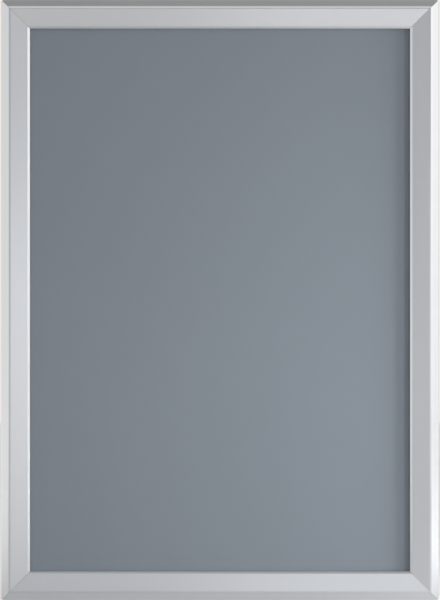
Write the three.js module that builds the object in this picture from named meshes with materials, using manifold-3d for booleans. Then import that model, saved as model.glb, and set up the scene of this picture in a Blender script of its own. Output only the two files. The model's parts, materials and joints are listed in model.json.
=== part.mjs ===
// A wall-hung snap frame for one A2 sheet. Four mitred front rails hinge on beads of four base rails and
// clamp a clear cover over a backing panel. Leaf springs in the base rails snap each front rail shut.
// Millimetres, +Z up. The wall is the plane y = 0, the viewer is on the -Y side, and the origin is the
// middle of the frame on the wall.

import * as THREE from 'three';
import { mergeVertices, toCreasedNormals } from 'three/addons/utils/BufferGeometryUtils.js';
import Module from 'manifold-3d';

const degrees = Math.PI / 180;

// The sheets that the frame holds
const sheetWidth = 420;
const sheetHeight = 594;
const sheetCorner = 1.5; // radius of a sheet's corners
const sheetOverlap = 7; // how far a rail's lip covers the edge of the sheets
const sheetClearance = 0.5; // from the edge of the sheets to the stop wall beside it
const panelThickness = 1;
const coverThickness = 0.5;

// Clearances
const restGap = 0.1; // under a piece that lies on another
const lipGap = 0.2; // from a closed lip to the cover
const hingeClearance = 0.2; // from a bead to the hook round it
const mitreGap = 0.3; // between the cut faces of two rails
const springGap = 0.3; // from a nose to the leaf that it pushes
const keySideGap = 0.3; // from a corner key to either side of its slot
const threadGap = 0.1; // from a set screw to its hole

// The skin of a front rail
const frontWall = 1.4;
const bevelRun = 8.8; // from the outer edge to where the planes of bevel and face would meet
const bevelAngle = 40 * degrees;
const faceAngle = 12 * degrees; // the face falls towards the sheets
const crownRadius = 4.2; // between bevel and face
const lipRun = 2.4; // the bevel along the lip, seen from the front
const lipAngle = 42 * degrees;
const lipRadius = 0.8; // at both edges of the lip's bevel
const tipRadius = 2; // rounds the outer corners of the frame

// The hinge between a front rail and its base rail
const openAngle = 95 * degrees;
const beadRadius = 2;
const neckWidth = 1.1; // carries the bead on the floor of the base rail
const hookWall = 1.1;
const hookEnd = 145 * degrees; // where the hook stops on the outside of the bead
const hookLift = 0.4; // from the hook to the floor under it
const noseAngle = -42 * degrees; // the nose passes level at the dead point of the spring
const noseRadius = 0.75;
const noseProud = 0.8; // from the hook to the middle of the nose's round end
const endRelief = 2; // cuts nose and hook back from the mitre, so that a rail opens past its neighbours

// The base rail
const baseWall = 1.4;
const floorInset = 0.7; // from the outer edge of the front rail to the floor
const footLip = 1.2; // reaches over the foot of a spring
const slotWidth = 9; // for the corner keys
const slotLip = 1.5; // holds a key down at either side of the slot
const slotLipWall = 1;
const ledgeHeight = 4.2; // where the panel lies
const ledgeInset = 0.6; // keeps the ledge behind the lip
const stopProud = 0.5; // from the cover to the top of the stop wall

// The wall screws' holes in the two side rails
const wallHoleRadius = 2.5;
const wallHoleFromCorner = 100;
const wallHolesOnSideRail = 2;

// A leaf spring, bent from strip
const springSheet = 0.5;
const springLength = 24;
const springRadius = 8;
const springBend = 1;
const springRise = 28 * degrees; // how far the leaf goes on above the hinge line
const springFoot = 3.6;
const springTab = 2;
const springFromCorner = 110;
const springsOnSideRail = 3;
const springsOnEndRail = 2;

// A corner key with its two set screws
const keyThickness = 2;
const keyLeg = 45;
const keyLift = 0.4; // the screws jack the key off the floor and against the slot's lips
const keyRound = 1.5;
const keyScrewFromCorner = 30;
const screwRadius = 2;
const screwLength = 3.4;
const screwChamfer = 0.4;
const socketRadius = 1.15; // to the corners of the hexagon
const socketDepth = 1.6;

// Facets, and the overshoot of a cutting tool
const arcSteps = 6;
const sheetCornerSteps = 3;
const roundSides = 20;
const hexSides = 6;
const creaseAngle = 30 * degrees; // facets that meet at less are shaded as one surface
const overcut = 1;

// Sections are drawn with x inward from the frame's outer edge and y out from the wall.
const hookInner = beadRadius + hingeClearance;
const hookMiddle = hookInner + hookWall / 2;
const hookOuter = hookInner + hookWall;
const hinge = new THREE.Vector2(
  hookWall / 2 - hookMiddle * Math.cos(hookEnd),
  baseWall + hookLift + hookOuter,
);
const noseReach = hookOuter + noseProud;

// The leaf's round face lies against the nose of the closed rail.
const leafToNose = springRadius + noseRadius + springGap;
const noseDrop = noseReach * Math.sin(noseAngle);
const leafCentre = new THREE.Vector2(
  hinge.x + noseReach * Math.cos(noseAngle) + Math.sqrt(leafToNose ** 2 - noseDrop ** 2),
  hinge.y,
);
const footBottom = baseWall + restGap;
const footTop = footBottom + springSheet;
const leafFall = Math.asin((hinge.y - footBottom - springBend) / (springRadius - springBend));
const lowerBend = polar(leafCentre, springRadius - springBend, Math.PI + leafFall);
const upperBend = polar(leafCentre, springRadius - springBend, Math.PI - springRise);
const footEnd = lowerBend.x + springFoot;

// The base rail's walls, from the spring inward
const springWall = footEnd + restGap;
const slotStart = springWall + baseWall;
const slotEnd = slotStart + slotWidth;
const slotMiddle = slotStart + slotWidth / 2;
const stopFace = slotEnd + baseWall;
const railWidth = stopFace + sheetClearance + sheetOverlap;
const ledgeEnd = railWidth - ledgeInset;
const keyBottom = baseWall + keyLift;
const slotTop = keyBottom + keyThickness + restGap;

// The stack of sheets on the ledge
const panelBottom = ledgeHeight + restGap;
const coverBottom = panelBottom + panelThickness + restGap;
const coverTop = coverBottom + coverThickness;
const lipToe = coverTop + lipGap;

// Half the frame's outer size
const halfWidth = sheetWidth / 2 - sheetOverlap + railWidth;
const halfHeight = sheetHeight / 2 - sheetOverlap + railWidth;

const wasm = await Module();
wasm.setup();

const aluminium = new THREE.MeshStandardMaterial({ color: 0xc3c6ca, roughness: 0.36, metalness: 1 });
const millAluminium = new THREE.MeshStandardMaterial({ color: 0xb4b7ba, roughness: 0.45, metalness: 1 });
const springSteel = new THREE.MeshStandardMaterial({ color: 0x8a8d90, roughness: 0.3, metalness: 1 });
const zincSteel = new THREE.MeshStandardMaterial({ color: 0xb9bcb8, roughness: 0.42, metalness: 1 });
const blackSteel = new THREE.MeshStandardMaterial({ color: 0x38393b, roughness: 0.5, metalness: 0.9 });
const greyStyrene = new THREE.MeshStandardMaterial({ color: 0x7f8890, roughness: 0.6, metalness: 0 });
const clearVinyl = new THREE.MeshStandardMaterial({
  color: 0xf2f5f7,
  roughness: 0.3,
  metalness: 0,
  transparent: true,
  opacity: 0.2,
});

function polar(centre, radius, angle) {
  return new THREE.Vector2(centre.x + radius * Math.cos(angle), centre.y + radius * Math.sin(angle));
}

// The point at a depth below both of two planes that meet at a corner, given by the angles of their normals.
function inset(corner, depth, first, second) {
  return polar(corner, depth / Math.cos((first - second) / 2), (first + second) / 2 + Math.PI);
}

function arc(section, centre, radius, from, to, clockwise) {
  section.absarc(centre.x, centre.y, radius, from, to, clockwise);
}

function solidOf(geometry) {
  const bare = geometry.clone();
  bare.deleteAttribute('normal');
  bare.deleteAttribute('uv');
  const merged = mergeVertices(bare);
  const mesh = new wasm.Mesh({
    numProp: 3,
    vertProperties: new Float32Array(merged.attributes.position.array),
    triVerts: new Uint32Array(merged.index.array),
  });
  return new wasm.Manifold(mesh);
}

function cut(geometry, tools) {
  let solid = solidOf(geometry);
  for (const tool of tools) {
    solid = solid.subtract(solidOf(tool));
  }
  const mesh = solid.getMesh();
  const result = new THREE.BufferGeometry();
  result.setAttribute('position', new THREE.BufferAttribute(new Float32Array(mesh.vertProperties), 3));
  result.setIndex(new THREE.BufferAttribute(new Uint32Array(mesh.triVerts), 1));
  return toCreasedNormals(result, creaseAngle);
}

// A round cutter through a plate that lies on y = 0
function drill(radius, plate, x, z) {
  const cutter = new THREE.CylinderGeometry(radius, radius, 2 * (plate + overcut), roundSides);
  return cutter.translate(x, 0, z);
}

// Runs a section along x. Either end is cut to a line: startAt and stopAt give x at a distance inward.
function runSection(section, startAt, stopAt) {
  const geometry = new THREE.ExtrudeGeometry(section, {
    depth: 1,
    bevelEnabled: false,
    curveSegments: arcSteps,
  });
  const place = geometry.attributes.position;
  for (let i = 0; i < place.count; i++) {
    const inward = place.getX(i);
    const end = place.getZ(i) > 0 ? stopAt : startAt;
    place.setXYZ(i, end(inward), -place.getY(i), inward);
  }
  geometry.computeVertexNormals();
  return geometry;
}

// The plane of a mitre, as x at a distance inward
function mitrePlane(span, inward) {
  return span - inward - mitreGap / Math.SQRT2;
}

// The end of a rail: its mitre, with the frame's corner rounded off near the outer edge
function railEnd(span, inward) {
  const over = Math.max(tipRadius - inward, 0);
  const tip = tipRadius - Math.sqrt(tipRadius ** 2 - over ** 2);
  return mitrePlane(span, Math.max(inward, tip));
}

function frontSection() {
  const bevelNormal = Math.PI / 2 + bevelAngle;
  const faceNormal = Math.PI / 2 - faceAngle;
  const lipNormal = Math.PI / 2 - lipAngle;
  const bevelStart = polar(hinge, hookOuter, bevelNormal);
  const ridgeHeight = bevelStart.y + (bevelRun - bevelStart.x) * Math.tan(bevelAngle);
  const ridge = new THREE.Vector2(bevelRun, ridgeHeight);
  const crown = inset(ridge, crownRadius, bevelNormal, faceNormal);
  const faceRun = railWidth - lipRun - bevelRun;
  const lipTop = new THREE.Vector2(railWidth - lipRun, ridgeHeight - faceRun * Math.tan(faceAngle));
  const lipEdge = new THREE.Vector2(railWidth, lipTop.y - lipRun * Math.tan(lipAngle));
  const lipTopBehind = inset(lipTop, frontWall, faceNormal, lipNormal);
  const lipEdgeBehind = inset(lipEdge, frontWall, lipNormal, 0);
  const toe = new THREE.Vector2(railWidth - frontWall / 2, lipToe + frontWall / 2);
  const webAngle = bevelNormal - Math.acos((hookOuter - frontWall) / hookOuter);
  const nose = polar(hinge, noseReach, noseAngle);
  const noseTop = noseAngle + Math.asin(noseRadius / hookOuter);
  const noseRoot = noseAngle - Math.asin(noseRadius / hookInner);
  const hookTip = polar(hinge, hookMiddle, hookEnd);

  const section = new THREE.Shape();
  arc(section, hinge, hookOuter, hookEnd, bevelNormal, true);
  arc(section, crown, crownRadius, bevelNormal, faceNormal, true);
  arc(section, inset(lipTop, lipRadius, faceNormal, lipNormal), lipRadius, faceNormal, lipNormal, true);
  arc(section, inset(lipEdge, lipRadius, lipNormal, 0), lipRadius, lipNormal, 0, true);
  arc(section, toe, frontWall / 2, 0, -Math.PI, true);
  section.lineTo(lipEdgeBehind.x, lipEdgeBehind.y);
  section.lineTo(lipTopBehind.x, lipTopBehind.y);
  arc(section, crown, crownRadius - frontWall, faceNormal, bevelNormal, false);
  arc(section, hinge, hookOuter, webAngle, noseTop, true);
  arc(section, nose, noseRadius, noseAngle + Math.PI / 2, noseAngle - Math.PI / 2, true);
  arc(section, hinge, hookInner, noseRoot, hookEnd, false);
  arc(section, hookTip, hookWall / 2, hookEnd + Math.PI, hookEnd, true);
  return section;
}

// The parts of the hook that pass the mitre as the rail opens: the nose below the hinge line, which swings
// inward first, and the far end of the hook, which comes round to the inside at the end of the travel.
function reliefSections() {
  const reach = noseReach + noseRadius + overcut;
  const wedge = (from, to) => new THREE.Shape([
    hinge,
    polar(hinge, reach, from),
    polar(hinge, reach, (from + to) / 2),
    polar(hinge, reach, to),
  ]);
  return [wedge(-Math.PI / 2, 0), wedge(Math.PI - openAngle / 2, Math.PI)];
}

function frontRail(span) {
  const end = (inward) => railEnd(span, inward);
  const inside = (inward) => mitrePlane(span, inward) - endRelief;
  const outside = (inward) => mitrePlane(span, inward) + overcut;
  const rail = runSection(frontSection(), (inward) => -end(inward), end);
  return cut(rail, reliefSections().flatMap((relief) => [
    runSection(relief, inside, outside),
    runSection(relief, (inward) => -outside(inward), (inward) => -inside(inward)),
  ]));
}

function baseSection() {
  const neckSpread = Math.asin(neckWidth / 2 / beadRadius);
  const down = -Math.PI / 2;
  const up = Math.PI / 2;
  const stopBack = stopFace - baseWall;
  const stopTop = new THREE.Vector2(stopFace - baseWall / 2, coverTop + stopProud - baseWall / 2);
  const lipTop = slotTop + slotLipWall;
  const section = new THREE.Shape();
  section.moveTo(floorInset, 0);
  section.lineTo(stopFace, 0);
  section.lineTo(stopFace, ledgeHeight - baseWall);
  section.lineTo(ledgeEnd - baseWall, ledgeHeight - baseWall);
  section.lineTo(ledgeEnd - baseWall, 0);
  section.lineTo(ledgeEnd, 0);
  section.lineTo(ledgeEnd, ledgeHeight);
  section.lineTo(stopFace, ledgeHeight);
  arc(section, stopTop, baseWall / 2, 0, Math.PI, false);
  section.lineTo(stopBack, lipTop);
  section.lineTo(stopBack - slotLip, lipTop);
  section.lineTo(stopBack - slotLip, slotTop);
  section.lineTo(stopBack, slotTop);
  section.lineTo(stopBack, baseWall);
  section.lineTo(slotStart, baseWall);
  section.lineTo(slotStart, slotTop);
  section.lineTo(slotStart + slotLip, slotTop);
  section.lineTo(slotStart + slotLip, lipTop);
  section.lineTo(springWall, lipTop);
  section.lineTo(springWall, footTop + restGap + slotLipWall);
  section.lineTo(springWall - footLip, footTop + restGap + slotLipWall);
  section.lineTo(springWall - footLip, footTop + restGap);
  section.lineTo(springWall, footTop + restGap);
  section.lineTo(springWall, baseWall);
  section.lineTo(hinge.x + neckWidth / 2, baseWall);
  arc(section, hinge, beadRadius, down + neckSpread, up, false);
  arc(section, hinge, beadRadius, up, down - neckSpread, false);
  section.lineTo(hinge.x - neckWidth / 2, baseWall);
  section.lineTo(floorInset, baseWall);
  return section;
}

function baseRail(span, holesAt) {
  const end = (inward) => railEnd(span, inward);
  const rail = runSection(baseSection(), (inward) => -end(inward), end);
  const drills = holesAt.map((along) => drill(wallHoleRadius, baseWall, along, slotMiddle));
  return cut(rail, drills);
}

function springSection() {
  const lowAngle = Math.PI + leafFall;
  const highAngle = Math.PI - springRise;
  const tabEnd = upperBend.x + springTab;
  const tabTop = upperBend.y + springBend;
  const innerBend = springBend - springSheet;
  const section = new THREE.Shape();
  arc(section, lowerBend, springBend, 1.5 * Math.PI, lowAngle, true);
  arc(section, leafCentre, springRadius, lowAngle, highAngle, true);
  arc(section, upperBend, springBend, highAngle, Math.PI / 2, true);
  section.lineTo(tabEnd, tabTop);
  section.lineTo(tabEnd, tabTop - springSheet);
  arc(section, upperBend, innerBend, Math.PI / 2, highAngle, false);
  arc(section, leafCentre, springRadius - springSheet, highAngle, lowAngle, false);
  arc(section, lowerBend, innerBend, lowAngle, 1.5 * Math.PI, false);
  section.lineTo(footEnd, footTop);
  section.lineTo(footEnd, footBottom);
  return section;
}

function snapSpring(along) {
  const half = springLength / 2;
  return runSection(springSection(), () => along - half, () => along + half);
}

// A flat key in the shape of an L, with its corner at the origin and its legs along x and z
function cornerKey() {
  const half = slotWidth / 2 - keySideGap;
  const tip = keyLeg - keyRound;
  const inner = half - keyRound;
  const outline = new THREE.Shape();
  outline.absarc(tip, -inner, keyRound, -Math.PI / 2, 0, false);
  outline.absarc(tip, inner, keyRound, 0, Math.PI / 2, false);
  outline.lineTo(half, half);
  outline.absarc(inner, tip, keyRound, 0, Math.PI / 2, false);
  outline.absarc(-inner, tip, keyRound, Math.PI / 2, Math.PI, false);
  outline.lineTo(-half, -half);
  const key = new THREE.ExtrudeGeometry(outline, {
    depth: keyThickness,
    bevelEnabled: false,
    curveSegments: arcSteps,
  });
  const drills = screwSpots.map(([x, z]) => drill(screwRadius + threadGap, keyThickness, x, z));
  return cut(key.rotateX(Math.PI / 2), drills);
}

// A set screw that stands on its tip at the origin and points out from the wall
function setScrew() {
  const bevelled = screwRadius - screwChamfer;
  const profile = [
    new THREE.Vector2(0, 0),
    new THREE.Vector2(bevelled, 0),
    new THREE.Vector2(screwRadius, screwChamfer),
    new THREE.Vector2(screwRadius, screwLength - screwChamfer),
    new THREE.Vector2(bevelled, screwLength),
    new THREE.Vector2(0, screwLength),
  ];
  const shank = new THREE.LatheGeometry(profile, roundSides);
  const socket = new THREE.CylinderGeometry(socketRadius, socketRadius, 2 * socketDepth, hexSides);
  socket.translate(0, screwLength, 0);
  return cut(shank, [socket]).rotateX(Math.PI);
}

function sheet(thickness) {
  const x = sheetWidth / 2 - sheetCorner;
  const y = sheetHeight / 2 - sheetCorner;
  const outline = new THREE.Shape();
  outline.absarc(x, y, sheetCorner, 0, Math.PI / 2, false);
  outline.absarc(-x, y, sheetCorner, Math.PI / 2, Math.PI, false);
  outline.absarc(-x, -y, sheetCorner, Math.PI, 1.5 * Math.PI, false);
  outline.absarc(x, -y, sheetCorner, 1.5 * Math.PI, 2 * Math.PI, false);
  const plate = new THREE.ExtrudeGeometry(outline, {
    depth: thickness,
    bevelEnabled: false,
    curveSegments: sheetCornerSteps,
  });
  return plate.rotateX(Math.PI / 2);
}

function addMesh(parent, name, geometry, material, x, y, z) {
  const mesh = new THREE.Mesh(geometry, material);
  mesh.name = name;
  mesh.position.set(x, y, z);
  parent.add(mesh);
}

// Even places along a rail, from end to end. One alone is in the middle.
function spread(count, reach) {
  const step = count > 1 ? (2 * reach) / (count - 1) : 0;
  const first = (-step * (count - 1)) / 2;
  return Array.from({ length: count }, (_, i) => first + i * step);
}

const screwSpots = [
  [keyScrewFromCorner, 0],
  [0, keyScrewFromCorner],
];

// Each side is drawn as the bottom rail and turned about y. The reach is from the middle to its outer edge.
const endRail = { reach: halfHeight, span: halfWidth, springs: springsOnEndRail, wallHoles: 0 };
const sideRail = {
  reach: halfWidth,
  span: halfHeight,
  springs: springsOnSideRail,
  wallHoles: wallHolesOnSideRail,
};
const sides = [
  { name: 'bottom', turn: 0, ...endRail },
  { name: 'left', turn: 90, ...sideRail },
  { name: 'top', turn: 180, ...endRail },
  { name: 'right', turn: 270, ...sideRail },
];

// A key's corner lies where the slots of two rails cross.
const corners = [
  { name: 'bottom_left', turn: 0, x: -1, z: -1 },
  { name: 'top_left', turn: 90, x: -1, z: 1 },
  { name: 'top_right', turn: 180, x: 1, z: 1 },
  { name: 'bottom_right', turn: 270, x: 1, z: -1 },
];

const frame = new THREE.Group();

for (const side of sides) {
  const rail = new THREE.Group();
  rail.rotation.y = side.turn * degrees;
  frame.add(rail);
  const holesAt = spread(side.wallHoles, side.span - wallHoleFromCorner);
  addMesh(rail, `base_rail_${side.name}`, baseRail(side.span, holesAt), millAluminium, 0, 0, -side.reach);
  spread(side.springs, side.span - springFromCorner).forEach((along, i) => {
    addMesh(rail, `snap_spring_${side.name}_${i + 1}`, snapSpring(along), springSteel, 0, 0, -side.reach);
  });
  // This group lies on the hinge line: turned about its own x axis, it opens the front rail.
  const opening = new THREE.Group();
  opening.position.set(0, -hinge.y, hinge.x - side.reach);
  rail.add(opening);
  addMesh(opening, `front_rail_${side.name}`, frontRail(side.span), aluminium, 0, hinge.y, -hinge.x);
}

for (const corner of corners) {
  const joint = new THREE.Group();
  joint.position.set(corner.x * (halfWidth - slotMiddle), 0, corner.z * (halfHeight - slotMiddle));
  joint.rotation.y = corner.turn * degrees;
  frame.add(joint);
  addMesh(joint, `corner_key_${corner.name}`, cornerKey(), zincSteel, 0, -keyBottom, 0);
  screwSpots.forEach(([x, z], i) => {
    const name = `key_screw_${corner.name}_${i + 1}`;
    addMesh(joint, name, setScrew(), blackSteel, x, -baseWall - restGap, z);
  });
}

addMesh(frame, 'back_panel', sheet(panelThickness), greyStyrene, 0, -panelBottom, 0);
addMesh(frame, 'cover_sheet', sheet(coverThickness), clearVinyl, 0, -coverBottom, 0);

export default frame;
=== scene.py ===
# Snap frame for one A2 sheet: satin aluminium rails round a grey panel under a clear cover.
# Metres, +Z up. The wall is the plane y = 0 and the viewer stands on the -Y side.

import json
import math

import bmesh
import bpy
from mathutils import Matrix, Vector


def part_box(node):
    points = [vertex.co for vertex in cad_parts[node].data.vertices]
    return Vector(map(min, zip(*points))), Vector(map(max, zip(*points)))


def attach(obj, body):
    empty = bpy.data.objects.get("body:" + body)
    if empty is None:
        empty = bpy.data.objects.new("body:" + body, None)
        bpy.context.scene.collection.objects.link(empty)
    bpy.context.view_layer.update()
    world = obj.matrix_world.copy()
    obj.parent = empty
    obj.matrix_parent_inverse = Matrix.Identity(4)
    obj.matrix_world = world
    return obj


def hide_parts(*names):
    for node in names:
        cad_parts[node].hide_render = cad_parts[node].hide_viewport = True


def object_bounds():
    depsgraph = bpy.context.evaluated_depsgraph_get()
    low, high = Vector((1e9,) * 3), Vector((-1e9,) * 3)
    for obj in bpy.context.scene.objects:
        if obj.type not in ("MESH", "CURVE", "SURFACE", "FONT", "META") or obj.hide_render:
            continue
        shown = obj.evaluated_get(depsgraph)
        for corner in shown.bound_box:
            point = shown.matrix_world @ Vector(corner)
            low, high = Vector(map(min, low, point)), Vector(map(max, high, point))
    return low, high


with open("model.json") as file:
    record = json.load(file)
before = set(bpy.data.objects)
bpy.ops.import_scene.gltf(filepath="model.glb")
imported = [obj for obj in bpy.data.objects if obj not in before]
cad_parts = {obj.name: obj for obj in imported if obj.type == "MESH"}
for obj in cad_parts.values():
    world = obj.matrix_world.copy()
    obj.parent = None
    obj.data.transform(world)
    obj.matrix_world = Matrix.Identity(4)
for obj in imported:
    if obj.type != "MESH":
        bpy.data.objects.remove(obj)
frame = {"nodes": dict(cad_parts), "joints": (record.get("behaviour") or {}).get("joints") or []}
cadLow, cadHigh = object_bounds()
print("frame loaded:", len(frame["nodes"]), "nodes")

scene = bpy.context.scene
scene.view_settings.view_transform = "Standard"

mm = 0.001
quarterTurn = math.pi / 2
halfWidth = cadHigh.x
halfHeight = cadHigh.z

# every side is drawn as the bottom one and turned about Y
sides = {
    "bottom": {"turn": 0, "reach": halfHeight, "span": halfWidth, "holes": False},
    "left": {"turn": 90, "reach": halfWidth, "span": halfHeight, "holes": True},
    "top": {"turn": 180, "reach": halfHeight, "span": halfWidth, "holes": False},
    "right": {"turn": 270, "reach": halfWidth, "span": halfHeight, "holes": True},
}
for side in sides.values():
    turned = Matrix.Rotation(math.radians(side["turn"]), 4, "Y")
    side["place"] = turned @ Matrix.Translation((0, 0, -side["reach"]))


# shader nodes

class Wire:
    # an output socket that can be added, multiplied and so on
    def __init__(self, nodes, socket):
        self.nodes = nodes
        self.socket = socket

    def maths(self, operation, first, second):
        return self.nodes.add("ShaderNodeMath", {"operation": operation}, {0: first, 1: second})

    def __add__(self, other):
        return self.maths("ADD", self, other)

    def __sub__(self, other):
        return self.maths("SUBTRACT", self, other)

    def __rsub__(self, other):
        return self.maths("SUBTRACT", other, self)

    def __mul__(self, other):
        return self.maths("MULTIPLY", self, other)

    def __pow__(self, other):
        return self.maths("POWER", self, other)

    __radd__ = __add__
    __rmul__ = __mul__


class Nodes:
    # the node tree of one material or of the world
    def __init__(self, owner):
        owner.use_nodes = True
        self.owner = owner
        self.tree = owner.node_tree
        self.tree.nodes.clear()

    def add(self, kind, settings, sockets, out=0):
        node = self.tree.nodes.new(kind)
        for key, value in settings.items():
            setattr(node, key, value)
        for key, value in sockets.items():
            if isinstance(value, Wire):
                self.tree.links.new(value.socket, node.inputs[key])
            else:
                node.inputs[key].default_value = value
        return Wire(self, node.outputs[out]) if node.outputs else node

    def place(self, scale):
        # the piece's own coordinates, stretched
        here = self.add("ShaderNodeTexCoord", {}, {}, "Object")
        return self.add("ShaderNodeMapping", {}, {"Vector": here, "Scale": scale})

    def noise(self, scale, detail=2.0, rough=0.5):
        sockets = {"Vector": self.place(scale), "Scale": 1.0, "Detail": detail, "Roughness": rough}
        return self.add("ShaderNodeTexNoise", {}, sockets, "Fac")

    def blend(self, factor, first, second):
        # by number, because a Mix node's colour sockets share their names with others
        sockets = {0: factor, 6: (*first, 1.0), 7: (*second, 1.0)}
        return self.add("ShaderNodeMix", {"data_type": "RGBA"}, sockets, 2)

    def tones(self, factor, colour, tint):
        # from a little darker to as much lighter
        dark = [part * (1 - tint) for part in colour]
        light = [part * (1 + tint) for part in colour]
        return self.blend(factor, dark, light)

    def bump(self, height, depth):
        sockets = {"Strength": 1.0, "Distance": depth, "Height": height}
        return self.add("ShaderNodeBump", {}, sockets)

    def surface(self, sockets):
        shader = self.add("ShaderNodeBsdfPrincipled", {}, sockets)
        self.add("ShaderNodeOutputMaterial", {}, {"Surface": shader})
        return self.owner


def sway(noise, amount):
    # up and down about nought, since a noise lies round 0.5
    return amount * (noise - 0.5)


# satin anodised skin of the front rails: fine die lines along the extrusion, faint handling marks
# here and below, a noise's scale is in repeats to the metre, and x runs along the piece
satin = {
    "colour": (0.82, 0.842, 0.882),
    "tint": 0.03,
    "rough": 0.3,
    "lines": {"scale": (2.5, 2400.0, 2400.0), "detail": 3.0, "rough": 0.6},
    "marks": {"scale": (14.0, 40.0, 40.0), "detail": 3.0},
    "grain": {"scale": (2600.0, 2600.0, 2600.0), "detail": 1.0},
    "lineRough": 0.06,
    "markRough": 0.05,
    "lineDepth": 0.004 * mm,
    "grainShare": 0.4,
}


def satinAluminium():
    nodes = Nodes(bpy.data.materials.new("satinAluminium"))
    lines = nodes.noise(**satin["lines"])
    marks = nodes.noise(**satin["marks"])
    grain = nodes.noise(**satin["grain"])
    return nodes.surface({
        "Base Color": nodes.tones(lines, satin["colour"], satin["tint"]),
        "Metallic": 1.0,
        "Roughness": (
            satin["rough"] + sway(marks, satin["markRough"]) + sway(lines, satin["lineRough"])
        ),
        "Normal": nodes.bump(lines + satin["grainShare"] * grain, satin["lineDepth"]),
    })


# mill finish of the base rails: coarser die lines, a duller grey
mill = {
    "colour": (0.66, 0.67, 0.69),
    "tint": 0.08,
    "rough": 0.4,
    "lines": {"scale": (1.5, 1100.0, 1100.0), "detail": 4.0, "rough": 0.7},
    "stains": {"scale": (9.0, 60.0, 60.0), "detail": 4.0},
    "lineRough": 0.1,
    "stainRough": 0.12,
    "lineDepth": 0.012 * mm,
}


def millAluminium():
    nodes = Nodes(bpy.data.materials.new("millAluminium"))
    lines = nodes.noise(**mill["lines"])
    stains = nodes.noise(**mill["stains"])
    return nodes.surface({
        "Base Color": nodes.tones(lines, mill["colour"], mill["tint"]),
        "Metallic": 1.0,
        "Roughness": (
            mill["rough"] + sway(stains, mill["stainRough"]) + sway(lines, mill["lineRough"])
        ),
        "Normal": nodes.bump(lines, mill["lineDepth"]),
    })


# tempered strip of the springs: blue-grey with straw patches and rolling lines
temper = {
    "blue": (0.3, 0.33, 0.38),
    "straw": (0.46, 0.41, 0.33),
    "rough": 0.27,
    "patches": {"scale": (60.0, 90.0, 90.0), "detail": 3.0},
    "lines": {"scale": (60.0, 3000.0, 3000.0)},
    "patchRough": 0.15,
    "lineRough": 0.08,
    "lineDepth": 0.004 * mm,
}


def springSteel():
    nodes = Nodes(bpy.data.materials.new("springSteel"))
    patches = nodes.noise(**temper["patches"])
    lines = nodes.noise(**temper["lines"])
    return nodes.surface({
        "Base Color": nodes.blend(patches, temper["blue"], temper["straw"]),
        "Metallic": 1.0,
        "Roughness": (
            temper["rough"] + sway(patches, temper["patchRough"])
            + sway(lines, temper["lineRough"])
        ),
        "Normal": nodes.bump(lines, temper["lineDepth"]),
    })


# zinc plate on the corner keys: a fine spangle under a dull film
zinc = {
    "dark": (0.5, 0.52, 0.53),
    "light": (0.68, 0.69, 0.66),
    "rough": 0.36,
    "spangle": (420.0, 420.0, 420.0),
    "spangleShare": 0.5,
    "film": {"scale": (120.0, 120.0, 120.0), "detail": 4.0},
    "filmRough": 0.2,
    "filmDepth": 0.01 * mm,
}


def zincPlate():
    nodes = Nodes(bpy.data.materials.new("zincPlate"))
    cells = {"Vector": nodes.place(zinc["spangle"]), "Scale": 1.0}
    spangle = nodes.add("ShaderNodeTexVoronoi", {}, cells, "Distance")
    film = nodes.noise(**zinc["film"])
    share = zinc["spangleShare"]
    mottle = share * spangle + (1 - share) * film
    return nodes.surface({
        "Base Color": nodes.blend(mottle, zinc["dark"], zinc["light"]),
        "Metallic": 1.0,
        "Roughness": zinc["rough"] + sway(film, zinc["filmRough"]),
        "Normal": nodes.bump(film, zinc["filmDepth"]),
    })


# black oxide on the set screws, a little worn
oxide = {
    "dark": (0.02, 0.02, 0.022),
    "light": (0.06, 0.058, 0.055),
    "metal": 0.8,
    "rough": 0.42,
    "wear": {"scale": (900.0, 900.0, 900.0), "detail": 3.0},
    "wearRough": 0.2,
}


def blackOxide():
    nodes = Nodes(bpy.data.materials.new("blackOxide"))
    wear = nodes.noise(**oxide["wear"])
    return nodes.surface({
        "Base Color": nodes.blend(wear, oxide["dark"], oxide["light"]),
        "Metallic": oxide["metal"],
        "Roughness": oxide["rough"] + sway(wear, oxide["wearRough"]),
    })


# grey styrene of the back panel: matt, with a fine grain
styrene = {
    "colour": (0.182, 0.218, 0.26),
    "tint": 0.04,
    "rough": 0.55,
    "clouds": {"scale": (4.0, 4.0, 4.0)},
    "grain": {"scale": (1400.0, 1400.0, 1400.0)},
    "grainRough": 0.1,
    "grainDepth": 0.02 * mm,
}


def greyStyrene():
    nodes = Nodes(bpy.data.materials.new("greyStyrene"))
    clouds = nodes.noise(**styrene["clouds"])
    grain = nodes.noise(**styrene["grain"])
    return nodes.surface({
        "Base Color": nodes.tones(clouds, styrene["colour"], styrene["tint"]),
        "Roughness": styrene["rough"] + sway(grain, styrene["grainRough"]),
        "Normal": nodes.bump(grain, styrene["grainDepth"]),
    })


# clear non-glare vinyl over it, with a slight haze
vinyl = {
    "colour": (0.42, 0.45, 0.48),
    "alpha": 0.1,
    "rough": 0.38,
    "haze": {"scale": (6.0, 6.0, 6.0), "detail": 3.0},
    "hazeAlpha": 0.02,
    "hazeRough": 0.1,
}


def clearVinyl():
    nodes = Nodes(bpy.data.materials.new("clearVinyl"))
    haze = nodes.noise(**vinyl["haze"])
    return nodes.surface({
        "Base Color": (*vinyl["colour"], 1.0),
        "Roughness": vinyl["rough"] + sway(haze, vinyl["hazeRough"]),
        "Alpha": vinyl["alpha"] + sway(haze, vinyl["hazeAlpha"]),
    })


# outlines

samePoint = 1e-7  # points nearer than this count as one


def polar(centre, radius, angle):
    return Vector((centre[0] + radius * math.cos(angle), centre[1] + radius * math.sin(angle)))


def arc(centre, radius, start, stop, steps):
    return [polar(centre, radius, start + (stop - start) * i / steps) for i in range(steps + 1)]


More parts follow.
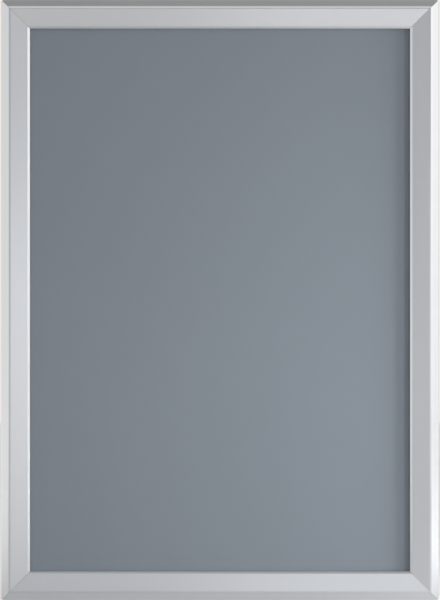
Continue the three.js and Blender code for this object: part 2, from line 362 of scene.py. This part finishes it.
def inset(corner, depth, first, second):
    # a point at a depth below both planes that meet at a corner, from the angles of their normals
    return polar(corner, depth / math.cos((first - second) / 2), (first + second) / 2 + math.pi)


def roundCorner(corner, radius, first, second, steps):
    return arc(inset(corner, radius, first, second), radius, first, second, steps)


def closeUp(points):
    # drops points that lie on the one before, round the whole outline
    pairs = zip(points, points[-1:] + points[:-1])
    return [point for point, before in pairs if (point - before).length > samePoint]


# meshes

def loft(bm, rings):
    # joins rings of points one after the other and closes both ends
    for low, high in zip(rings, rings[1:]):
        for i in range(len(low)):
            bm.faces.new((low[i - 1], low[i], high[i], high[i - 1]))
    bm.faces.new(rings[0])
    bm.faces.new(rings[-1][::-1])
    bmesh.ops.recalc_face_normals(bm, faces=bm.faces)


def prism(bm, outline, startAt, stopAt):
    # outline is (inward, out) and runs along x between two end lines
    start = [bm.verts.new((startAt(p.x), -p.y, p.x)) for p in outline]
    stop = [bm.verts.new((stopAt(p.x), -p.y, p.x)) for p in outline]
    loft(bm, (start, stop))


def plate(bm, outline, thickness):
    # outline is (x, z), and the plate runs from y = 0 out from the wall
    back = [bm.verts.new((p.x, 0, p.y)) for p in outline]
    front = [bm.verts.new((p.x, -thickness, p.y)) for p in outline]
    loft(bm, (back, front))


def newObject(name, bm):
    mesh = bpy.data.meshes.new(name)
    bm.to_mesh(mesh)
    bm.free()
    made = bpy.data.objects.new(name, mesh)
    scene.collection.objects.link(made)
    return made


def bake(piece):
    # keeps what the modifiers made as the piece's own mesh
    graph = bpy.context.evaluated_depsgraph_get()
    shaped = piece.evaluated_get(graph)
    mesh = bpy.data.meshes.new_from_object(shaped, preserve_all_data_layers=True, depsgraph=graph)
    piece.modifiers.clear()
    plain, piece.data = piece.data, mesh
    bpy.data.meshes.remove(plain)
    piece.data.name = piece.name


def cutAway(piece, bm):
    cutter = newObject(piece.name + "_cutter", bm)
    boolean = piece.modifiers.new("cut", "BOOLEAN")
    boolean.operation = "DIFFERENCE"
    boolean.solver = "EXACT"
    boolean.object = cutter
    bake(piece)
    mesh = cutter.data
    bpy.data.objects.remove(cutter)
    bpy.data.meshes.remove(mesh)


drillSegments = 40


def drillCutter(places, radius, depth):
    # round cutters along y, through a plate that lies on y = 0
    bm = bmesh.new()
    for x, z in places:
        turned = Matrix.Translation((x, 0, z)) @ Matrix.Rotation(quarterTurn, 4, "X")
        bmesh.ops.create_cone(
            bm, cap_ends=True, segments=drillSegments,
            radius1=radius, radius2=radius, depth=depth, matrix=turned,
        )
    return bm


# edges sharper than roundFrom get a small round, and those sharper than sharpFrom shade as sharp
edges = {"segments": 2, "roundFrom": math.radians(32), "sharpFrom": math.radians(50)}


def roundEdges(piece, width):
    bevel = piece.modifiers.new("edges", "BEVEL")
    bevel.width = width
    bevel.segments = edges["segments"]
    bevel.limit_method = "ANGLE"
    bevel.angle_limit = edges["roundFrom"]
    bake(piece)


def smoothFaces(piece, sharpFrom):
    for face in piece.data.polygons:
        face.use_smooth = True
    piece.data.set_sharp_from_angle(angle=sharpFrom)


def shadeSmooth(piece):
    # smooth over the rounds, and the flats stay flat
    smoothFaces(piece, edges["sharpFrom"])
    piece.modifiers.new("normals", "WEIGHTED_NORMAL").keep_sharp = True
    bake(piece)


def soften(piece, width):
    roundEdges(piece, width)
    shadeSmooth(piece)


def dress(piece, material, body, node, place):
    piece.data.materials.clear()
    piece.data.materials.append(material)
    piece.matrix_world = place
    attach(piece, body)
    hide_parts(node)


# front rails: bevel, crown, face and lip outside, hook and nose inside
rail = {
    "width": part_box("front_rail_bottom")[1].z + halfHeight,
    "wall": 1.4 * mm,
    "bevelRun": 8.8 * mm,
    "bevelAngle": math.radians(40),
    "faceAngle": math.radians(12),
    "crownRadius": 4.2 * mm,
    "lipRun": 2.4 * mm,
    "lipAngle": math.radians(42),
    "lipRadius": 0.8 * mm,
    "mitreGap": 0.14 * mm,
    "lipGap": 0.2 * mm,  # from the lip to the cover
    "edge": 0.07 * mm,
    "arcSteps": 20,
}
hook = {
    "bead": 2 * mm,  # radius of the base rail's bead, which it turns on
    "clearance": 0.2 * mm,
    "wall": 1.1 * mm,
    "end": math.radians(145),
    "noseAngle": math.radians(-42),
    "noseRadius": 0.75 * mm,
    "noseProud": 0.8 * mm,
    "open": math.radians(95),
    "endRelief": 2 * mm,
    "cutterSpare": 1 * mm,  # how far the cutter stands past what it cuts
    "arcSteps": 4,
}
hingeSpot = next(j["pos_m"] for j in frame["joints"] if j["name"] == "bottom_rail_hinge")
hinge = Vector((halfHeight + hingeSpot[2], -hingeSpot[1]))
hookInner = hook["bead"] + hook["clearance"]
hookMiddle = hookInner + hook["wall"] / 2
hookOuter = hookInner + hook["wall"]
noseReach = hookOuter + hook["noseProud"]
coverTop = -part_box("cover_sheet")[0].y


def frontSection():
    steps, wall = rail["arcSteps"], rail["wall"]
    bevelAngle, faceAngle, lipAngle = rail["bevelAngle"], rail["faceAngle"], rail["lipAngle"]
    lipRadius, crownRadius = rail["lipRadius"], rail["crownRadius"]
    bevelNormal = quarterTurn + bevelAngle
    faceNormal = quarterTurn - faceAngle
    lipNormal = quarterTurn - lipAngle
    bevelStart = polar(hinge, hookOuter, bevelNormal)
    ridge = Vector((rail["bevelRun"], 0))
    ridge.y = bevelStart.y + (ridge.x - bevelStart.x) * math.tan(bevelAngle)
    crown = inset(ridge, crownRadius, bevelNormal, faceNormal)
    lipTop = Vector((rail["width"] - rail["lipRun"], 0))
    lipTop.y = ridge.y - (lipTop.x - ridge.x) * math.tan(faceAngle)
    lipEdge = lipTop + Vector((rail["lipRun"], -rail["lipRun"] * math.tan(lipAngle)))
    toe = Vector((rail["width"] - wall / 2, coverTop + rail["lipGap"] + wall / 2))
    web = bevelNormal - math.acos((hookOuter - wall) / hookOuter)
    noseAngle = hook["noseAngle"]
    nose = polar(hinge, noseReach, noseAngle)
    noseTop = noseAngle + math.asin(hook["noseRadius"] / hookOuter)
    noseRoot = noseAngle - math.asin(hook["noseRadius"] / hookInner)
    hookTip = polar(hinge, hookMiddle, hook["end"])
    return closeUp(
        arc(hinge, hookOuter, hook["end"], bevelNormal, hook["arcSteps"])
        + arc(crown, crownRadius, bevelNormal, faceNormal, steps)
        + roundCorner(lipTop, lipRadius, faceNormal, lipNormal, steps // 2)
        + roundCorner(lipEdge, lipRadius, lipNormal, 0, steps // 2)
        + arc(toe, wall / 2, 0, -math.pi, steps)
        + [inset(lipEdge, wall, lipNormal, 0), inset(lipTop, wall, faceNormal, lipNormal)]
        + arc(crown, crownRadius - wall, faceNormal, bevelNormal, steps)
        + arc(hinge, hookOuter, web, noseTop, steps)
        + arc(nose, hook["noseRadius"], noseAngle + quarterTurn, noseAngle - quarterTurn, steps)
        + arc(hinge, hookInner, noseRoot, hook["end"], 2 * steps)
        + arc(hookTip, hook["wall"] / 2, hook["end"] + math.pi, hook["end"], steps)
    )


def mitrePlane(span, inward):
    return span - inward - rail["mitreGap"] / math.sqrt(2)


def mitredBar(section, span):
    bm = bmesh.new()
    prism(bm, section, lambda r: -mitrePlane(span, r), lambda r: mitrePlane(span, r))
    return bm


def reliefCutter(span):
    # hook and nose are cut back where they would pass the mitre as the rail opens
    bm = bmesh.new()
    relief, spare = hook["endRelief"], hook["cutterSpare"]
    reach = noseReach + hook["noseRadius"] + spare
    for start, stop in ((-quarterTurn, 0), (math.pi - hook["open"] / 2, math.pi)):
        wedge = [hinge] + arc(hinge, reach, start, stop, hook["arcSteps"])
        prism(
            bm, wedge,
            lambda r: mitrePlane(span, r) - relief,
            lambda r: mitrePlane(span, r) + spare,
        )
        prism(
            bm, wedge,
            lambda r: -mitrePlane(span, r) - spare,
            lambda r: relief - mitrePlane(span, r),
        )
    return bm


def makeFrontRails(material):
    section = frontSection()
    for name, side in sides.items():
        piece = newObject("satin_rail_" + name, mitredBar(section, side["span"]))
        roundEdges(piece, rail["edge"])
        cutAway(piece, reliefCutter(side["span"]))
        shadeSmooth(piece)
        dress(piece, material, name + "_front", "front_rail_" + name, side["place"])
    print("front rails made:", len(section), "points in the section")


# base rails: bead, spring channel, key slot, stop wall and ledge
base = {
    "wall": 1.4 * mm,
    "inset": 0.7 * mm,
    "neck": 1.1 * mm,
    "footLip": 1.2 * mm,
    "slotWidth": 9 * mm,
    "slotLip": 1.5 * mm,
    "slotLipWall": 1 * mm,
    "ledge": 4.2 * mm,
    "ledgeInset": 0.6 * mm,
    "stopProud": 0.5 * mm,
    "restGap": 0.1 * mm,  # between a rail and what lies in it
    "holeRadius": 2.5 * mm,
    "holeFromCorner": 100 * mm,
    "drillDepth": 5.6 * mm,
    "edge": 0.1 * mm,
    "arcSteps": 16,
}
# leaf springs, bent from strip: the channel is shaped round their feet
leaf = {
    "strip": 0.5 * mm,
    "length": 24 * mm,
    "radius": 8 * mm,
    "bend": 1 * mm,
    "rise": math.radians(28),
    "foot": 3.6 * mm,
    "tab": 2 * mm,
    "gap": 0.3 * mm,  # from the leaf to the nose
    "edge": 0.06 * mm,
    "arcSteps": 14,
}
# corner keys: the slot is as deep as they need
key = {
    "thickness": 2 * mm,
    "leg": 45 * mm,
    "lift": 0.4 * mm,
    "sideGap": 0.3 * mm,
    "round": 1.5 * mm,
    "screwFromCorner": 30 * mm,
    "screwGap": 0.1 * mm,
    "drillDepth": 12 * mm,
    "edge": 0.2 * mm,
    "arcSteps": 8,
}

leafToNose = leaf["radius"] + hook["noseRadius"] + leaf["gap"]
noseDrop = noseReach * math.sin(hook["noseAngle"])
noseAcross = noseReach * math.cos(hook["noseAngle"])
leafCentre = Vector((
    hinge.x + noseAcross + math.sqrt(leafToNose ** 2 - noseDrop ** 2),
    hinge.y,
))
footBottom = base["wall"] + base["restGap"]
footTop = footBottom + leaf["strip"]
leafFall = math.asin((hinge.y - footBottom - leaf["bend"]) / (leaf["radius"] - leaf["bend"]))
lowerBend = polar(leafCentre, leaf["radius"] - leaf["bend"], math.pi + leafFall)
upperBend = polar(leafCentre, leaf["radius"] - leaf["bend"], math.pi - leaf["rise"])
footEnd = lowerBend.x + leaf["foot"]
springWall = footEnd + base["restGap"]
slotStart = springWall + base["wall"]
slotEnd = slotStart + base["slotWidth"]
slotMiddle = (slotStart + slotEnd) / 2
slotTop = base["wall"] + key["lift"] + key["thickness"] + base["restGap"]
stopFace = slotEnd + base["wall"]
ledgeEnd = rail["width"] - base["ledgeInset"]


def baseSection():
    wall, steps, slotLip = base["wall"], base["arcSteps"], base["slotLip"]
    neckSpread = math.asin(base["neck"] / 2 / hook["bead"])
    beadStart, beadStop = neckSpread - quarterTurn, 3 * quarterTurn - neckSpread
    neckLeft, neckRight = hinge.x - base["neck"] / 2, hinge.x + base["neck"] / 2
    ledge, ledgeUnder = base["ledge"], base["ledge"] - wall
    stopTop = Vector((stopFace - wall / 2, coverTop + base["stopProud"] - wall / 2))
    slotLipTop = slotTop + base["slotLipWall"]
    footLipEnd = springWall - base["footLip"]
    footLipUnder = footTop + base["restGap"]
    footLipTop = footLipUnder + base["slotLipWall"]
    floorAndLedge = [
        (base["inset"], 0), (stopFace, 0), (stopFace, ledgeUnder),
        (ledgeEnd - wall, ledgeUnder), (ledgeEnd - wall, 0), (ledgeEnd, 0),
        (ledgeEnd, ledge), (stopFace, ledge),
    ]
    slotAndChannel = [
        (slotEnd, slotLipTop), (slotEnd - slotLip, slotLipTop), (slotEnd - slotLip, slotTop),
        (slotEnd, slotTop), (slotEnd, wall), (slotStart, wall), (slotStart, slotTop),
        (slotStart + slotLip, slotTop), (slotStart + slotLip, slotLipTop),
        (springWall, slotLipTop), (springWall, footLipTop), (footLipEnd, footLipTop),
        (footLipEnd, footLipUnder), (springWall, footLipUnder), (springWall, wall),
        (neckRight, wall),
    ]
    return closeUp(
        [Vector(p) for p in floorAndLedge]
        + arc(stopTop, wall / 2, 0, math.pi, steps)
        + [Vector(p) for p in slotAndChannel]
        + arc(hinge, hook["bead"], beadStart, beadStop, 3 * steps)
        + [Vector((neckLeft, wall)), Vector((base["inset"], wall))]
    )


def makeBaseRails(material):
    section = baseSection()
    for name, side in sides.items():
        piece = newObject("mill_rail_" + name, mitredBar(section, side["span"]))
        if side["holes"]:
            along = side["span"] - base["holeFromCorner"]
            holes = [(-along, slotMiddle), (along, slotMiddle)]
            cutAway(piece, drillCutter(holes, base["holeRadius"], base["drillDepth"]))
        soften(piece, base["edge"])
        dress(piece, material, "base", "base_rail_" + name, side["place"])
    print("base rails made:", len(section), "points in the section")


def springSection():
    steps, bend, strip = leaf["arcSteps"], leaf["bend"], leaf["strip"]
    low, high = math.pi + leafFall, math.pi - leaf["rise"]
    tabEnd, tabTop = upperBend.x + leaf["tab"], upperBend.y + bend
    return closeUp(
        arc(lowerBend, bend, 3 * quarterTurn, low, steps)
        + arc(leafCentre, leaf["radius"], low, high, steps)
        + arc(upperBend, bend, high, quarterTurn, steps)
        + [Vector((tabEnd, tabTop)), Vector((tabEnd, tabTop - strip))]
        + arc(upperBend, bend - strip, quarterTurn, high, steps)
        + arc(leafCentre, leaf["radius"] - strip, high, low, steps)
        + arc(lowerBend, bend - strip, low, 3 * quarterTurn, steps)
        + [Vector((footEnd, footTop)), Vector((footEnd, footBottom))]
    )


def makeSprings(material):
    section = springSection()
    half = leaf["length"] / 2
    springs = [node for node in frame["nodes"] if node.startswith("snap_spring_")]
    for node in springs:
        name = node.removeprefix("snap_spring_")
        side = sides[name.split("_")[0]]
        low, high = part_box(node)
        along = (side["place"].inverted() @ ((low + high) / 2)).x
        bm = bmesh.new()
        prism(bm, section, lambda r: along - half, lambda r: along + half)
        piece = newObject("leaf_spring_" + name, bm)
        soften(piece, leaf["edge"])
        dress(piece, material, "base", node, side["place"])
    print("springs made:", len(springs))


# keys and screws are drawn for the bottom left corner and turned about Y
corners = {
    "bottom_left": {"turn": 0, "x": -1, "z": -1},
    "top_left": {"turn": 90, "x": -1, "z": 1},
    "top_right": {"turn": 180, "x": 1, "z": 1},
    "bottom_right": {"turn": 270, "x": 1, "z": -1},
}
for corner in corners.values():
    corner["place"] = Matrix.Translation((
        corner["x"] * (halfWidth - slotMiddle), 0, corner["z"] * (halfHeight - slotMiddle)
    )) @ Matrix.Rotation(math.radians(corner["turn"]), 4, "Y")

# set screws with a cut thread and a hexagon socket
screw = {
    "radius": 2 * mm,
    "length": 3.4 * mm,
    "chamfer": 0.4 * mm,
    "pitch": 0.7 * mm,
    "thread": 0.3 * mm,
    "socket": 1.15 * mm,
    "socketDepth": 1.6 * mm,
    "pointsRound": 36,
    "rings": 40,
    "sharpFrom": math.radians(35),
}
screwSpots = ((key["screwFromCorner"], 0), (0, key["screwFromCorner"]))


def keyOutline():
    half = base["slotWidth"] / 2 - key["sideGap"]
    curve, steps = key["round"], key["arcSteps"]
    tip, inner = key["leg"] - curve, half - curve
    return closeUp(
        arc((tip, -inner), curve, -quarterTurn, 0, steps)
        + arc((tip, inner), curve, 0, quarterTurn, steps)
        + [Vector((half, half))]
        + arc((inner, tip), curve, 0, quarterTurn, steps)
        + arc((-inner, tip), curve, quarterTurn, math.pi, steps)
        + [Vector((-half, -half))]
    )


def makeKeys(material):
    lift = Matrix.Translation((0, -(base["wall"] + key["lift"]), 0))
    for name, corner in corners.items():
        bm = bmesh.new()
        plate(bm, keyOutline(), key["thickness"])
        piece = newObject("zinc_key_" + name, bm)
        drilled = screw["radius"] + key["screwGap"]
        cutAway(piece, drillCutter(screwSpots, drilled, key["drillDepth"]))
        soften(piece, key["edge"])
        dress(piece, material, "base", "corner_key_" + name, corner["place"] @ lift)
    print("corner keys made:", len(corners))


def screwMesh():
    # the tip stands at the origin, and the socket faces out from the wall
    bm = bmesh.new()
    count, length, chamfer = screw["pointsRound"], screw["length"], screw["chamfer"]
    turns = [2 * math.pi * i / count for i in range(count)]

    def ring(radiusAt, out):
        spots = [polar((0, 0), radiusAt(turn), turn) for turn in turns]
        return [bm.verts.new((spot.x, -out, spot.y)) for spot in spots]

    def threadAt(out):
        taper = min(chamfer, out, length - out) - chamfer

        def radius(turn):
            phase = (out / screw["pitch"] - turn / (2 * math.pi)) % 1
            groove = screw["thread"] * (1 - abs(2 * phase - 1))
            return min(screw["radius"] - groove, screw["radius"] + taper)

        return radius

    def hexagon(turn):
        sixth = math.pi / 3
        return screw["socket"] * math.cos(sixth / 2) / math.cos((turn % sixth) - sixth / 2)

    heights = [length * j / screw["rings"] for j in range(screw["rings"] + 1)]
    rings = [ring(threadAt(out), out) for out in heights]
    rings += [ring(hexagon, length), ring(hexagon, length - screw["socketDepth"])]
    loft(bm, rings)
    return bm


def makeScrews(material):
    stand = -(base["wall"] + base["restGap"])
    for name, corner in corners.items():
        for i, (x, z) in enumerate(screwSpots, 1):
            piece = newObject(f"set_screw_{name}_{i}", screwMesh())
            smoothFaces(piece, screw["sharpFrom"])
            place = corner["place"] @ Matrix.Translation((x, stand, z))
            dress(piece, material, "base", f"key_screw_{name}_{i}", place)
    print("set screws made:", len(corners) * len(screwSpots))


# the two sheets, each drawn to its node's box
sheets = {"corner": 1.5 * mm, "edge": 0.08 * mm, "arcSteps": 10}


def makeSheet(pieceName, node, material):
    low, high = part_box(node)
    curve = sheets["corner"]
    x, z = high.x - curve, high.z - curve
    outline = []
    for i, spot in enumerate(((x, z), (-x, z), (-x, -z), (x, -z))):
        outline += arc(spot, curve, i * quarterTurn, (i + 1) * quarterTurn, sheets["arcSteps"])
    bm = bmesh.new()
    plate(bm, closeUp(outline), high.y - low.y)
    piece = newObject(pieceName, bm)
    soften(piece, sheets["edge"])
    dress(piece, material, "base", node, Matrix.Translation((0, high.y, 0)))
    print("sheet made:", pieceName)


makeFrontRails(satinAluminium())
makeBaseRails(millAluminium())
makeSprings(springSteel())
makeKeys(zincPlate())
makeScrews(blackOxide())
makeSheet("styrene_panel", "back_panel", greyStyrene())
makeSheet("clear_cover", "cover_sheet", clearVinyl())

# floor: just below the reach of the bottom rail as it opens
# its glow is painted light: the camera sees an even share of it as a pale floor, and the metal
# sees all of it as a painted reflection, but none in a painted shade patch in front
stage = {
    "drop": 14 * mm,
    "size": 8.0,
    "paint": (0.7, 0.7, 0.7),
    "tint": 0.02,
    "clouds": {"scale": (1.2, 1.2, 1.2)},
    "rough": 0.8,
    "glow": (0.57, 0.56, 0.54),
    "cameraShare": 0.55,
    # a painted shade patch in the glow that the metal sees, round this point in front of the frame
    "paintedShadeCentre": (0.5, -1.0, 0),
    "paintedShadeInner": 1.2,
    "paintedShadeOuter": 1.8,
}


def paleFloorWithPaintedGlow():
    nodes = Nodes(bpy.data.materials.new("paleFloorWithPaintedGlow"))
    clouds = nodes.noise(**stage["clouds"])
    toCamera = nodes.add("ShaderNodeLightPath", {}, {}, "Is Camera Ray")
    toGloss = nodes.add("ShaderNodeLightPath", {}, {}, "Is Glossy Ray")
    here = nodes.add("ShaderNodeTexCoord", {}, {}, "Object")
    # painted shade: the metal sees no glow near the patch's centre, and all of it past the patch's
    # outer radius
    spots = {0: here, 1: stage["paintedShadeCentre"]}
    away = nodes.add("ShaderNodeVectorMath", {"operation": "DISTANCE"}, spots, "Value")
    ends = {"Value": away, "From Min": stage["paintedShadeInner"], "From Max": stage["paintedShadeOuter"]}
    outside = nodes.add("ShaderNodeMapRange", {"interpolation_type": "SMOOTHSTEP"}, ends)
    # painted glow: an even share for the camera, and for reflections in the metal all of it past
    # the painted shade patch
    paintedGlowShare = stage["cameraShare"] * toCamera + toGloss * outside
    return nodes.surface({
        "Base Color": nodes.tones(clouds, stage["paint"], stage["tint"]),
        "Roughness": stage["rough"],
        "Emission Color": nodes.blend(paintedGlowShare, (0, 0, 0), stage["glow"]),
        "Emission Strength": 1.0,
    })


def makeFloor():
    bm = bmesh.new()
    bmesh.ops.create_grid(bm, x_segments=1, y_segments=1, size=stage["size"] / 2)
    floor = newObject("floor", bm)
    floor.location.z = cadLow.z - stage["drop"]
    floor.data.materials.append(paleFloorWithPaintedGlow())
    print("floor laid")


# soft studio light: a pale room with soft glows, two softboxes on the right, one over the floor
# these three light the sheet and the floor, and the front box shows only in the metal
room = {
    "frontColour": (0.98, 0.99, 1.0),
    "sideColour": (1.0, 0.975, 0.935),
    "backdrop": 0.85,  # what the camera sees
    "fill": 0.2,
    "glows": (
        # towards (right, away, up), tightness, strength
        ((0, 1, 0), 2, 0.65),
        ((1, 0, 0), 6, 0.71),
        ((1, 0, 0.84), 8, 0.46),
        ((-1, 0, 0), 6, 0.64),
        ((0.77, -0.64, 0), 10, 1.12),
        ((-0.71, -0.71, 0), 10, 0.5),
        ((0, -0.71, 0.71), 8, 0.7),
    ),
}
lamps = {
    "sideBox": {
        "place": (1.25, -0.6, -0.15), "aim": (0, 0, -0.1),
        "size": (0.14, 0.3), "power": 2.7, "spread": 1.9,
    },
    "lowBox": {
        "place": (1.3, -0.2, -0.15), "aim": (0, 0, -0.1),
        "size": (0.3, 0.3), "power": 8.3, "spread": 1.6,
    },
    "frontBox": {
        "place": (0.45, -1.1, -0.08), "aim": (0.45, 0, -0.08),
        "size": (0.9, 0.5), "power": 0.5, "glossOnly": True,
    },
    "nearBox": {
        "place": (0, -0.75, 0.5), "aim": (0, -0.75, -0.33),
        "size": (0.8, 0.4), "power": 0.4, "spread": 1.2,
    },
}


def makeRoom():
    nodes = Nodes(bpy.data.worlds.new("paleRoom"))
    heading = nodes.add("ShaderNodeTexCoord", {}, {}, "Generated")

    def facing(towards):
        sockets = {0: heading, 1: Vector(towards).normalized()}
        along = nodes.add("ShaderNodeVectorMath", {"operation": "DOT_PRODUCT"}, sockets, "Value")
        return nodes.add("ShaderNodeMath", {"operation": "MAXIMUM"}, {0: along, 1: 0.0})

    light = room["fill"]
    for towards, tightness, strength in room["glows"]:
        light = light + strength * facing(towards) ** tightness
    toCamera = nodes.add("ShaderNodeLightPath", {}, {}, "Is Camera Ray")
    light = light + toCamera * (room["backdrop"] - light)
    colour = nodes.blend(facing((0, -1, 0)), room["sideColour"], room["frontColour"])
    shader = nodes.add("ShaderNodeBackground", {}, {"Color": colour, "Strength": light})
    nodes.add("ShaderNodeOutputWorld", {}, {"Surface": shader})
    scene.world = nodes.owner


def makeLamps():
    for name, lamp in lamps.items():
        data = bpy.data.lights.new(name, "AREA")
        data.shape = "RECTANGLE"
        data.size, data.size_y = lamp["size"]
        data.energy = lamp["power"]
        data.spread = lamp.get("spread", math.pi)
        made = bpy.data.objects.new(name, data)
        made.location = lamp["place"]
        towards = Vector(lamp["aim"]) - Vector(lamp["place"])
        made.rotation_euler = towards.to_track_quat("-Z", "Y").to_euler()
        made.visible_camera = False
        made.visible_glossy = lamp.get("glossOnly", False)
        made.visible_diffuse = not made.visible_glossy
        scene.collection.objects.link(made)
    print("light set:", len(lamps), "lamps")


# camera: straight in front, and the frame fills the picture
photo = {"distance": 2.6, "height": 0.642, "sensor": 24.0}


def makeCamera():
    data = bpy.data.cameras.new("photoView")
    data.sensor_fit = "VERTICAL"
    data.sensor_height = photo["sensor"]
    data.lens = photo["sensor"] * photo["distance"] / photo["height"]
    made = bpy.data.objects.new("photoView", data)
    made.location = (0, -hinge.y - photo["distance"], 0)
    made.rotation_euler = (quarterTurn, 0, 0)
    scene.collection.objects.link(made)
    scene.camera = made
    print("camera set")


makeFloor()
makeRoom()
makeLamps()
makeCamera()
